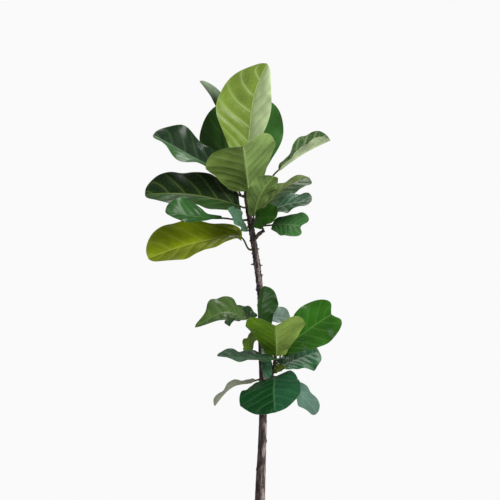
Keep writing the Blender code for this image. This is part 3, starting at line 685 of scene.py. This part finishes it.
def leaf_points(leaf, stems, share, across, turn, top, veins):
    """Points of a leaf's skin: share runs -1..0 up the stalk and 0..1 along the blade."""
    s = dict(USUAL)
    s.update(leaf)
    rib = np.array(s["rib"], float)
    first, second = seat(stems, rib[0], rib[1])
    line, along = smooth_path([first, second] + [tuple(p) for p in rib[1:]])
    base = along[np.argmin(np.linalg.norm(line - rib[1], axis=1))]
    blade = along[-1] - base
    u = np.asarray(share, float)[:, None]
    b = np.asarray(across, float)[None, :]
    turn = np.asarray(turn, float)[None, :]
    top = np.asarray(top, float)[None, :]
    a = np.clip(u, 0, 1)
    m = np.abs(b)
    run = np.where(u < 0, base * (1 + u), base + blade * a)[:, 0]
    place = np.stack([np.interp(run, along, line[:, k]) for k in range(3)], axis=-1)
    ahead = np.stack([np.interp(run + 0.002, along, line[:, k]) for k in range(3)], axis=-1)
    behind = np.stack([np.interp(run - 0.002, along, line[:, k]) for k in range(3)], axis=-1)
    forward = unit(ahead - behind)
    up = unit(s["face"]) + 0 * a
    up = unit(up - np.sum(up * forward, axis=1, keepdims=True) * forward)
    side = np.cross(forward, up)
    y = 2 * a - 1
    rounded = (1 - np.abs(y) ** s["tip"]) ** (1 / s["tip"])
    fiddle = s["base"] + (1.02 - s["base"]) * smoothstep(0.12 + s["peak"], 0.68 + s["peak"], a)
    fiddle = fiddle - s["waist"] * np.exp(-(((a - 0.30) / 0.13) ** 2))
    half = s["width"] * np.where(b > 0, s["right"], s["left"]) * rounded * fiddle
    half = np.maximum(half, 0.002)
    begin = smoothstep(0.0, 0.12, a)
    fold = np.radians(np.where(b > 0, s["fold"][1], s["fold"][0])) * begin
    curl = np.radians(np.where(b > 0, s["curl"][1], s["curl"][0]) + 0.05) * begin + 1e-4
    reach = half * (np.sin(fold + curl * m) - np.sin(fold)) / curl
    lift = half * (np.cos(fold) - np.cos(fold + curl * m)) / curl
    swell = np.sin(2 * math.pi * s["waves"] * a + s["phase"] + np.where(b > 0, 1.3, 0.0))
    lift = lift + s["wave"] * m * m * swell * begin * half / s["width"]
    dent = np.exp(-((m * half / (0.35 * s["width"])) ** 2)) * a**3
    ruffle = np.sin(2 * math.pi * (2.3 * s["waves"] * a + 0.8 * m) + 3 * s["phase"] + 2.1 * (b > 0))
    lift = lift + RUFFLE_HEIGHT * m**4 * ruffle * begin * (1 - a**6)
    sweep = a - m**VEIN_BOW * (VEIN_SWEEP - VEIN_SWEEP_LOSS * a)
    course = 2 * math.pi * (veins * sweep + np.where(b > 0, VEIN_STAGGER, 0.0))
    pillow = (0.5 - 0.5 * np.cos(course)) ** 0.7 * np.sin(math.pi * np.clip(m, 0, 1) ** 0.8) ** 0.8
    lift = lift + PILLOW_HEIGHT * s["width"] * pillow * begin * (1 - a**8)
    slide = -s["lobe"] * m**1.5 * (1 - a) ** 5 - s["notch"] * dent
    angle = fold + curl * m
    sign = np.where(b > 0, 1.0, -1.0)
    f, n, c = forward[:, None, :], up[:, None, :], side[:, None, :]
    lean = angle * smoothstep(0.0, 0.3, m)
    skin = n * np.cos(lean)[..., None] - c * (sign * np.sin(lean))[..., None]
    rib_depth = 1.7 * STALK_RADIUS * (1 - 0.8 * a) * np.exp(-((m * half / RIB_HALF_WIDTH) ** 2))
    side_rib = SIDE_RIB_DEPTH * np.exp(-((np.sin(course / 2) / 0.13) ** 2)) * (1 - m) ** 0.6 * begin
    above = BLADE_THICKNESS / 2 + 0.12 * rib_depth
    below = -BLADE_THICKNESS / 2 - rib_depth - side_rib
    thick = np.where(top > 0, above, below)
    thick = thick * (1 - 0.55 * m**6)
    flat = f * slide[..., None] + c * (sign * reach)[..., None] + n * lift[..., None]
    flat = flat + skin * thick[..., None]
    girth = STALK_RADIUS * (1 + 0.35 * smoothstep(0.55, 1.0, -u))
    stalk = c * (girth * np.cos(turn))[..., None] + n * (girth * np.sin(turn))[..., None]
    blend = smoothstep(0.0, 0.06, a)[..., None]
    return place[:, None, :] + stalk * (1 - blend) + flat * blend


# The colours of each leaf: its upper face and its underside, each as the half on either side of the
# midrib, then the veins. Leaves with none of their own here are the usual deep green. Where a leaf's
# two halves differ, that is painted light and shade: the half that met the light is laid paler, the
# half turned from it darker.
DEEP = dict(upper=((0.010, 0.055, 0.007), (0.010, 0.055, 0.007)), vein=(0.07, 0.13, 0.03),
            under=((0.085, 0.150, 0.055), (0.085, 0.150, 0.055)), veins=6, gloss=0.42)
TONES = {
    # Its far half, folded to face the light, is laid pale as a painted sheen.
    "crown_leaf_01": dict(upper=((0.150, 0.235, 0.024), (0.620, 0.760, 0.400)), vein=(0.46, 0.58, 0.22),
                          under=((0.30, 0.42, 0.15), (0.34, 0.46, 0.18)), veins=7, gloss=0.45),
    "crown_leaf_02": dict(upper=((0.10, 0.19, 0.03), (0.10, 0.19, 0.03)), vein=(0.36, 0.48, 0.18),
                          under=((0.230, 0.350, 0.100), (0.180, 0.280, 0.050)), veins=6, gloss=0.45),
    "crown_leaf_03": dict(upper=((0.044, 0.150, 0.030), (0.044, 0.150, 0.030))),
    "crown_leaf_04": dict(upper=((0.022, 0.075, 0.008), (0.048, 0.145, 0.016))),
    # Its far half is laid pale as a painted sheen.
    "crown_leaf_05": dict(upper=((0.060, 0.090, 0.050), (0.300, 0.400, 0.260)), vein=(0.30, 0.36, 0.24)),
    "crown_leaf_06": dict(upper=((0.022, 0.095, 0.014), (0.003, 0.018, 0.003)), vein=(0.05, 0.11, 0.04)),
    "crown_leaf_07": dict(upper=((0.012, 0.060, 0.006), (0.0015, 0.014, 0.0015)), vein=(0.10, 0.15, 0.03),
                          gloss=0.45),
    "crown_leaf_08": dict(upper=((0.013, 0.072, 0.008), (0.017, 0.086, 0.011)), vein=(0.07, 0.16, 0.05),
                          gloss=0.52),
    # Its blue-green tone is a painted sheen.
    "crown_leaf_09": dict(upper=((0.062, 0.145, 0.085), (0.062, 0.145, 0.085)), vein=(0.14, 0.25, 0.15)),
    "crown_leaf_10": dict(upper=((0.150, 0.190, 0.004), (0.190, 0.260, 0.001)), vein=(0.36, 0.43, 0.05),
                          under=((0.13, 0.18, 0.03), (0.13, 0.18, 0.03)), gloss=0.42),
    "crown_leaf_11": dict(upper=((0.035, 0.090, 0.018), (0.080, 0.140, 0.030)), vein=(0.48, 0.56, 0.33),
                          under=((0.55, 0.66, 0.38), (0.58, 0.70, 0.40)), gloss=0.42),
    "crown_leaf_12": dict(upper=((0.10, 0.20, 0.04), (0.10, 0.20, 0.04)), vein=(0.44, 0.54, 0.13),
                          under=((0.13, 0.22, 0.06), (0.17, 0.28, 0.08)), veins=8, gloss=0.5),
    "crown_leaf_13": dict(upper=((0.075, 0.130, 0.012), (0.030, 0.070, 0.030)), vein=(0.20, 0.20, 0.09),
                          gloss=0.55),
    "crown_leaf_14": dict(upper=((0.016, 0.064, 0.024), (0.008, 0.045, 0.006)), vein=(0.22, 0.30, 0.22),
                          gloss=0.5),
    "crown_leaf_15": dict(upper=((0.012, 0.070, 0.002), (0.014, 0.076, 0.003))),
    "crown_leaf_16": dict(upper=((0.055, 0.180, 0.050), (0.045, 0.160, 0.036)), vein=(0.18, 0.32, 0.13)),
    "lower_leaf_01": dict(upper=((0.040, 0.085, 0.016), (0.048, 0.100, 0.018)), vein=(0.12, 0.19, 0.06),
                          under=((0.14, 0.20, 0.07), (0.14, 0.20, 0.07)), gloss=0.45),
    "lower_leaf_02": dict(upper=((0.016, 0.052, 0.010), (0.016, 0.052, 0.010)), gloss=0.5),
    "lower_leaf_03": dict(upper=((0.014, 0.045, 0.009), (0.020, 0.066, 0.011)), vein=(0.07, 0.14, 0.04)),
    # Its underside's near half is laid pale, as painted light, and its far half darker, as painted shade.
    "lower_leaf_04": dict(upper=((0.10, 0.20, 0.02), (0.08, 0.18, 0.01)), vein=(0.34, 0.46, 0.13),
                          under=((0.290, 0.440, 0.075), (0.135, 0.285, 0.006)), veins=6, gloss=0.5),
    "lower_leaf_05": dict(upper=((0.020, 0.110, 0.003), (0.020, 0.100, 0.003)), vein=(0.08, 0.21, 0.03)),
    "lower_leaf_06": dict(upper=((0.030, 0.090, 0.035), (0.020, 0.070, 0.025)), vein=(0.14, 0.22, 0.15)),
    "lower_leaf_07": dict(upper=((0.060, 0.110, 0.006), (0.060, 0.110, 0.006)), veins=5,
                          under=((0.130, 0.225, 0.012), (0.090, 0.170, 0.010))),
    "lower_leaf_08": dict(upper=((0.075, 0.220, 0.115), (0.100, 0.260, 0.145)), veins=5),
    "lower_leaf_09": dict(upper=((0.12, 0.18, 0.01), (0.12, 0.18, 0.01)), vein=(0.25, 0.30, 0.10),
                          under=((0.12, 0.17, 0.02), (0.12, 0.17, 0.02)), veins=5),
    "lower_leaf_10": dict(upper=((0.022, 0.098, 0.032), (0.034, 0.125, 0.048)), vein=(0.11, 0.23, 0.12),
                          gloss=0.5),
    "lower_leaf_11": dict(upper=((0.013, 0.078, 0.032), (0.003, 0.046, 0.009)), vein=(0.06, 0.17, 0.07),
                          gloss=0.28),
    # Its pale blue-grey is a painted sheen.
    "lower_leaf_12": dict(upper=((0.105, 0.200, 0.150), (0.090, 0.175, 0.130)), vein=(0.16, 0.28, 0.22)),
    "lower_leaf_13": dict(upper=((0.22, 0.26, 0.18), (0.22, 0.26, 0.18)), vein=(0.34, 0.38, 0.28),
                          under=((0.28, 0.31, 0.22), (0.28, 0.31, 0.22))),
    # Its pale blue-grey is a painted sheen.
    "lower_leaf_14": dict(upper=((0.10, 0.155, 0.120), (0.10, 0.155, 0.120)), vein=(0.19, 0.26, 0.21)),
}

# The skin of a leaf: which half and which face a spot is on, how near a vein it is, what colour it is.
STALK_TINT = (0.060, 0.052, 0.020)
TINTS = ("Upper Near", "Upper Far", "Under Near", "Under Far", "Vein Tint", "Stalk Tint")
skin, k_in, k_out = new_group(
    "leaf skin",
    [(socket, "Color") for socket in TINTS] + [("Vein Count", "Float"), ("Upper Roughness", "Float")],
    [("Colour", "Color"), ("Roughness", "Float"), ("Gloss", "Float"), ("Height", "Float")],
)
spot = add_node(skin, "TexCoord").outputs["Object"]
across = add_node(skin, "Attribute", attribute_name="across").outputs["Fac"]
along = add_node(skin, "Attribute", attribute_name="along").outputs["Fac"]
beneath = add_node(skin, "Attribute", attribute_name="beneath").outputs["Fac"]
out = work_out(skin, "ABSOLUTE", across)
far = ramped(skin, across, -0.02, 0.02)
upper = blended(skin, far, k_in["Upper Near"], k_in["Upper Far"])
under = blended(skin, far, k_in["Under Near"], k_in["Under Far"])
soft = add_node(skin, "TexNoise", {"Vector": spot, "Scale": 16.0, "Detail": 3.0}).outputs["Fac"]
fine = add_node(skin, "TexNoise", {"Vector": spot, "Scale": 75.0, "Detail": 4.0}).outputs["Fac"]
sweep = work_out(skin, "POWER", out, VEIN_BOW)
reach = work_out(skin, "MULTIPLY_ADD", along, -VEIN_SWEEP_LOSS, VEIN_SWEEP)
sweep = work_out(skin, "MULTIPLY", sweep, reach)
start = work_out(skin, "SUBTRACT", along, sweep)
start = work_out(skin, "MULTIPLY_ADD", work_out(skin, "SUBTRACT", fine, 0.5), 0.010, start)
stagger = work_out(skin, "MULTIPLY", far, VEIN_STAGGER)
phase = work_out(skin, "MULTIPLY_ADD", start, k_in["Vein Count"], stagger)
part_way = work_out(skin, "ABSOLUTE", work_out(skin, "SUBTRACT", work_out(skin, "FRACT", phase), 0.5))
near_vein = work_out(skin, "SUBTRACT", 0.5, part_way)
taper = ramped(skin, out, 0.0, 1.0, 0.044, 0.014)
vein = ramped(skin, near_vein, taper, work_out(skin, "MULTIPLY", taper, 0.35))
vein = work_out(skin, "MULTIPLY", vein, ramped(skin, out, 1.0, 0.80))
vein = work_out(skin, "MULTIPLY", vein, ramped(skin, start, 0.01, 0.05))
halo = work_out(skin, "MULTIPLY", ramped(skin, near_vein, 0.24, 0.03), 0.28)
midrib = ramped(skin, out, 0.050, 0.022)
net = add_node(skin, "TexVoronoi", {"Vector": spot, "Scale": 95.0}, feature="DISTANCE_TO_EDGE")
net = ramped(skin, net.outputs["Distance"], 0.07, 0.015)
fine_net = add_node(skin, "TexVoronoi", {"Vector": spot, "Scale": 290.0}, feature="DISTANCE_TO_EDGE")
fine_net = ramped(skin, fine_net.outputs["Distance"], 0.09, 0.02)
ribs = work_out(skin, "MAXIMUM", midrib, work_out(skin, "MULTIPLY", vein, 0.85))
tint = work_out(skin, "MAXIMUM", ribs, work_out(skin, "MULTIPLY", net, 0.22))
tint = work_out(skin, "MAXIMUM", tint, work_out(skin, "MULTIPLY", fine_net, 0.08))
tint = work_out(skin, "MAXIMUM", tint, halo)
rim = ramped(skin, out, 0.975, 0.995)
tint = work_out(skin, "MAXIMUM", tint, work_out(skin, "MULTIPLY", rim, 0.45))
colour = blended(skin, beneath, upper, under)
shade = ramped(skin, soft, 0.25, 0.75, 0.76, 1.26)
# Painted shade: the blade is laid darker towards its stalk, as shade round the stem.
shade = work_out(skin, "MULTIPLY", shade, ramped(skin, along, 0.0, 0.45, 0.72, 1.04))
grey = add_node(skin, "CombineColor", {"Red": shade, "Green": shade, "Blue": shade}).outputs[0]
colour = blended(skin, 1.0, colour, grey, "MULTIPLY")
colour = blended(skin, work_out(skin, "MULTIPLY", tint, 0.9), colour, k_in["Vein Tint"])
specks = add_node(skin, "TexVoronoi", {"Vector": spot, "Scale": 38.0}).outputs["Distance"]
specks = work_out(skin, "MULTIPLY", ramped(skin, specks, 0.055, 0.025), ramped(skin, soft, 0.54, 0.60))
colour = blended(skin, work_out(skin, "MULTIPLY", specks, 0.55), colour, (0.085, 0.050, 0.018, 1))
colour = blended(skin, ramped(skin, along, 0.035, -0.02), colour, k_in["Stalk Tint"])
dull = ramped(skin, beneath, 0.0, 1.0, 0.0, 1.0)
worn = work_out(skin, "MULTIPLY_ADD", work_out(skin, "SUBTRACT", fine, 0.5), 0.16, k_in["Upper Roughness"])
rough = add_node(skin, "MapRange", {"Value": dull, "To Min": worn, "To Max": 0.62}).outputs["Result"]
raised = work_out(skin, "MULTIPLY_ADD", net, 0.35, work_out(skin, "MULTIPLY_ADD", fine_net, 0.16, ribs))
raised = work_out(skin, "MULTIPLY", raised, work_out(skin, "MULTIPLY_ADD", beneath, 1.6, -0.6))
raised = work_out(skin, "MULTIPLY_ADD", fine, 0.12, raised)
skin.links.new(colour, k_out["Colour"])
skin.links.new(rough, k_out["Roughness"])
skin.links.new(ramped(skin, beneath, 0.0, 1.0, 0.24, 0.02), k_out["Gloss"])
skin.links.new(raised, k_out["Height"])

# How finely a leaf's skin is laid: spots across one face, rows along the blade and up the stalk.
RING_HALF = 33
BLADE_ROWS = 118
STALK_ROWS = 12
spread = np.linspace(-1, 1, RING_HALF)
ring_across = np.concatenate([spread, spread[::-1]])
ring = len(ring_across)
ring_turn = math.pi * (1 - (2 * np.arange(RING_HALF) + 1) / ring)
ring_turn = np.concatenate([ring_turn, -ring_turn[::-1]])
ring_top = np.concatenate([np.ones(RING_HALF), -np.ones(RING_HALF)])
even = np.linspace(0, 1, BLADE_ROWS + 1)
blade_rows = 0.55 * even + 0.45 * (1 - np.cos(np.pi * even)) / 2
share = np.concatenate([np.linspace(-1, 0, STALK_ROWS + 1)[:-1], blade_rows])
stems = [stem_line(TRUNK), stem_line(SPUR), stem_line(SHOOT)]
for name, leaf in LEAVES.items():
    tone = dict(DEEP)
    tone.update(TONES.get(name, {}))
    rows = leaf_points(leaf, stems, share, ring_across, ring_turn, ring_top, tone["veins"])
    blade, inner, column = close_skin(name + "_skin", rows)
    hold(blade, "across", ring_across[column])
    hold(blade, "along", share[inner])
    hold(blade, "beneath", np.where(ring_top[column] > 0, 0.0, 1.0))
    knit(blade, 60)
    cuticle, tree, shader = new_material(name + " cuticle", tone["gloss"])
    settings = {"Vein Count": tone["veins"], "Upper Roughness": tone["gloss"]}
    tints = (*tone["upper"], *tone["under"], tone["vein"], STALK_TINT)
    settings.update({socket: (*tint, 1) for socket, tint in zip(TINTS, tints)})
    look = add_node(tree, "Group", settings, node_tree=skin)
    tree.links.new(look.outputs["Colour"], shader.inputs["Base Color"])
    tree.links.new(look.outputs["Roughness"], shader.inputs["Roughness"])
    tree.links.new(look.outputs["Gloss"], shader.inputs["Coat Weight"])
    shader.inputs["Coat Roughness"].default_value = 0.17
    shader.inputs["IOR"].default_value = 1.36
    shader.inputs["Specular IOR Level"].default_value = 0.22
    bump = add_node(tree, "Bump", {"Height": look.outputs["Height"], "Strength": 0.6, "Distance": 0.0008})
    tree.links.new(bump.outputs[0], shader.inputs["Normal"])
    put_on(blade, cuticle)
    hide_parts(name)
    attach(blade, "root")

# ---- The floor, the light and the camera ------------------------------------------------
# A plain pale round of floor under the planter, soft light from large lamps, and a white surround.
# The camera looks level at the fig from its front.
bpy.ops.object.select_all(action="DESELECT")
bpy.ops.mesh.primitive_circle_add(vertices=160, radius=1.65, fill_type="NGON", location=(0, 0, -0.0005))
floor = bpy.context.object
floor.name = "floor"
bpy.ops.object.transform_apply(location=True, rotation=True, scale=True)
pale, tree, shader = new_material("pale floor", 0.8)
shader.inputs["Base Color"].default_value = (0.80, 0.80, 0.79, 1)
put_on(floor, pale)

LAMPS = [
    ("key", (2.1, -2.3, 3.0), (0, 0, 1.15), 1.9, 130, (1.0, 0.985, 0.96)),
    ("fill", (-2.6, -2.6, 1.9), (0, 0, 1.1), 2.0, 34, (0.96, 0.98, 1.0)),
    ("top", (0.4, 1.0, 3.4), (0, 0, 1.2), 1.6, 38, (1.0, 1.0, 1.0)),
]
for name, spot, aim, size, power, tint in LAMPS:
    lamp = bpy.data.lights.new(name, "AREA")
    lamp.shape = "DISK"
    lamp.size = size
    lamp.energy = power
    lamp.color = tint
    holder = bpy.data.objects.new(name, lamp)
    bpy.context.scene.collection.objects.link(holder)
    holder.location = spot
    away = np.array(aim) - np.array(spot)
    heading = math.atan2(away[0], -away[1])
    holder.rotation_euler = (math.atan2(math.hypot(away[0], away[1]), -away[2]), 0, heading + math.pi)

world = bpy.data.worlds.new("white surround")
bpy.context.scene.world = world
world.use_nodes = True
tree = world.node_tree
tree.nodes.clear()
seen = add_node(tree, "Background", {"Color": (0.955, 0.955, 0.955, 1), "Strength": 1.0})
lit = add_node(tree, "Background", {"Color": (0.93, 0.96, 1.0, 1), "Strength": 0.20})
path = add_node(tree, "LightPath").outputs["Is Camera Ray"]
both = add_node(tree, "MixShader", {0: path, 1: lit.outputs[0], 2: seen.outputs[0]})
add_node(tree, "OutputWorld", {"Surface": both.outputs[0]})
bpy.context.scene.view_settings.view_transform = "Standard"

lens = bpy.data.cameras.new("camera")
lens.sensor_width = 36
lens.lens = 90
camera = bpy.data.objects.new("camera", lens)
bpy.context.scene.collection.objects.link(camera)
camera.location = (-0.032, -4.0, 1.16)
camera.rotation_euler = (math.radians(90), 0, 0)
bpy.context.scene.camera = camera
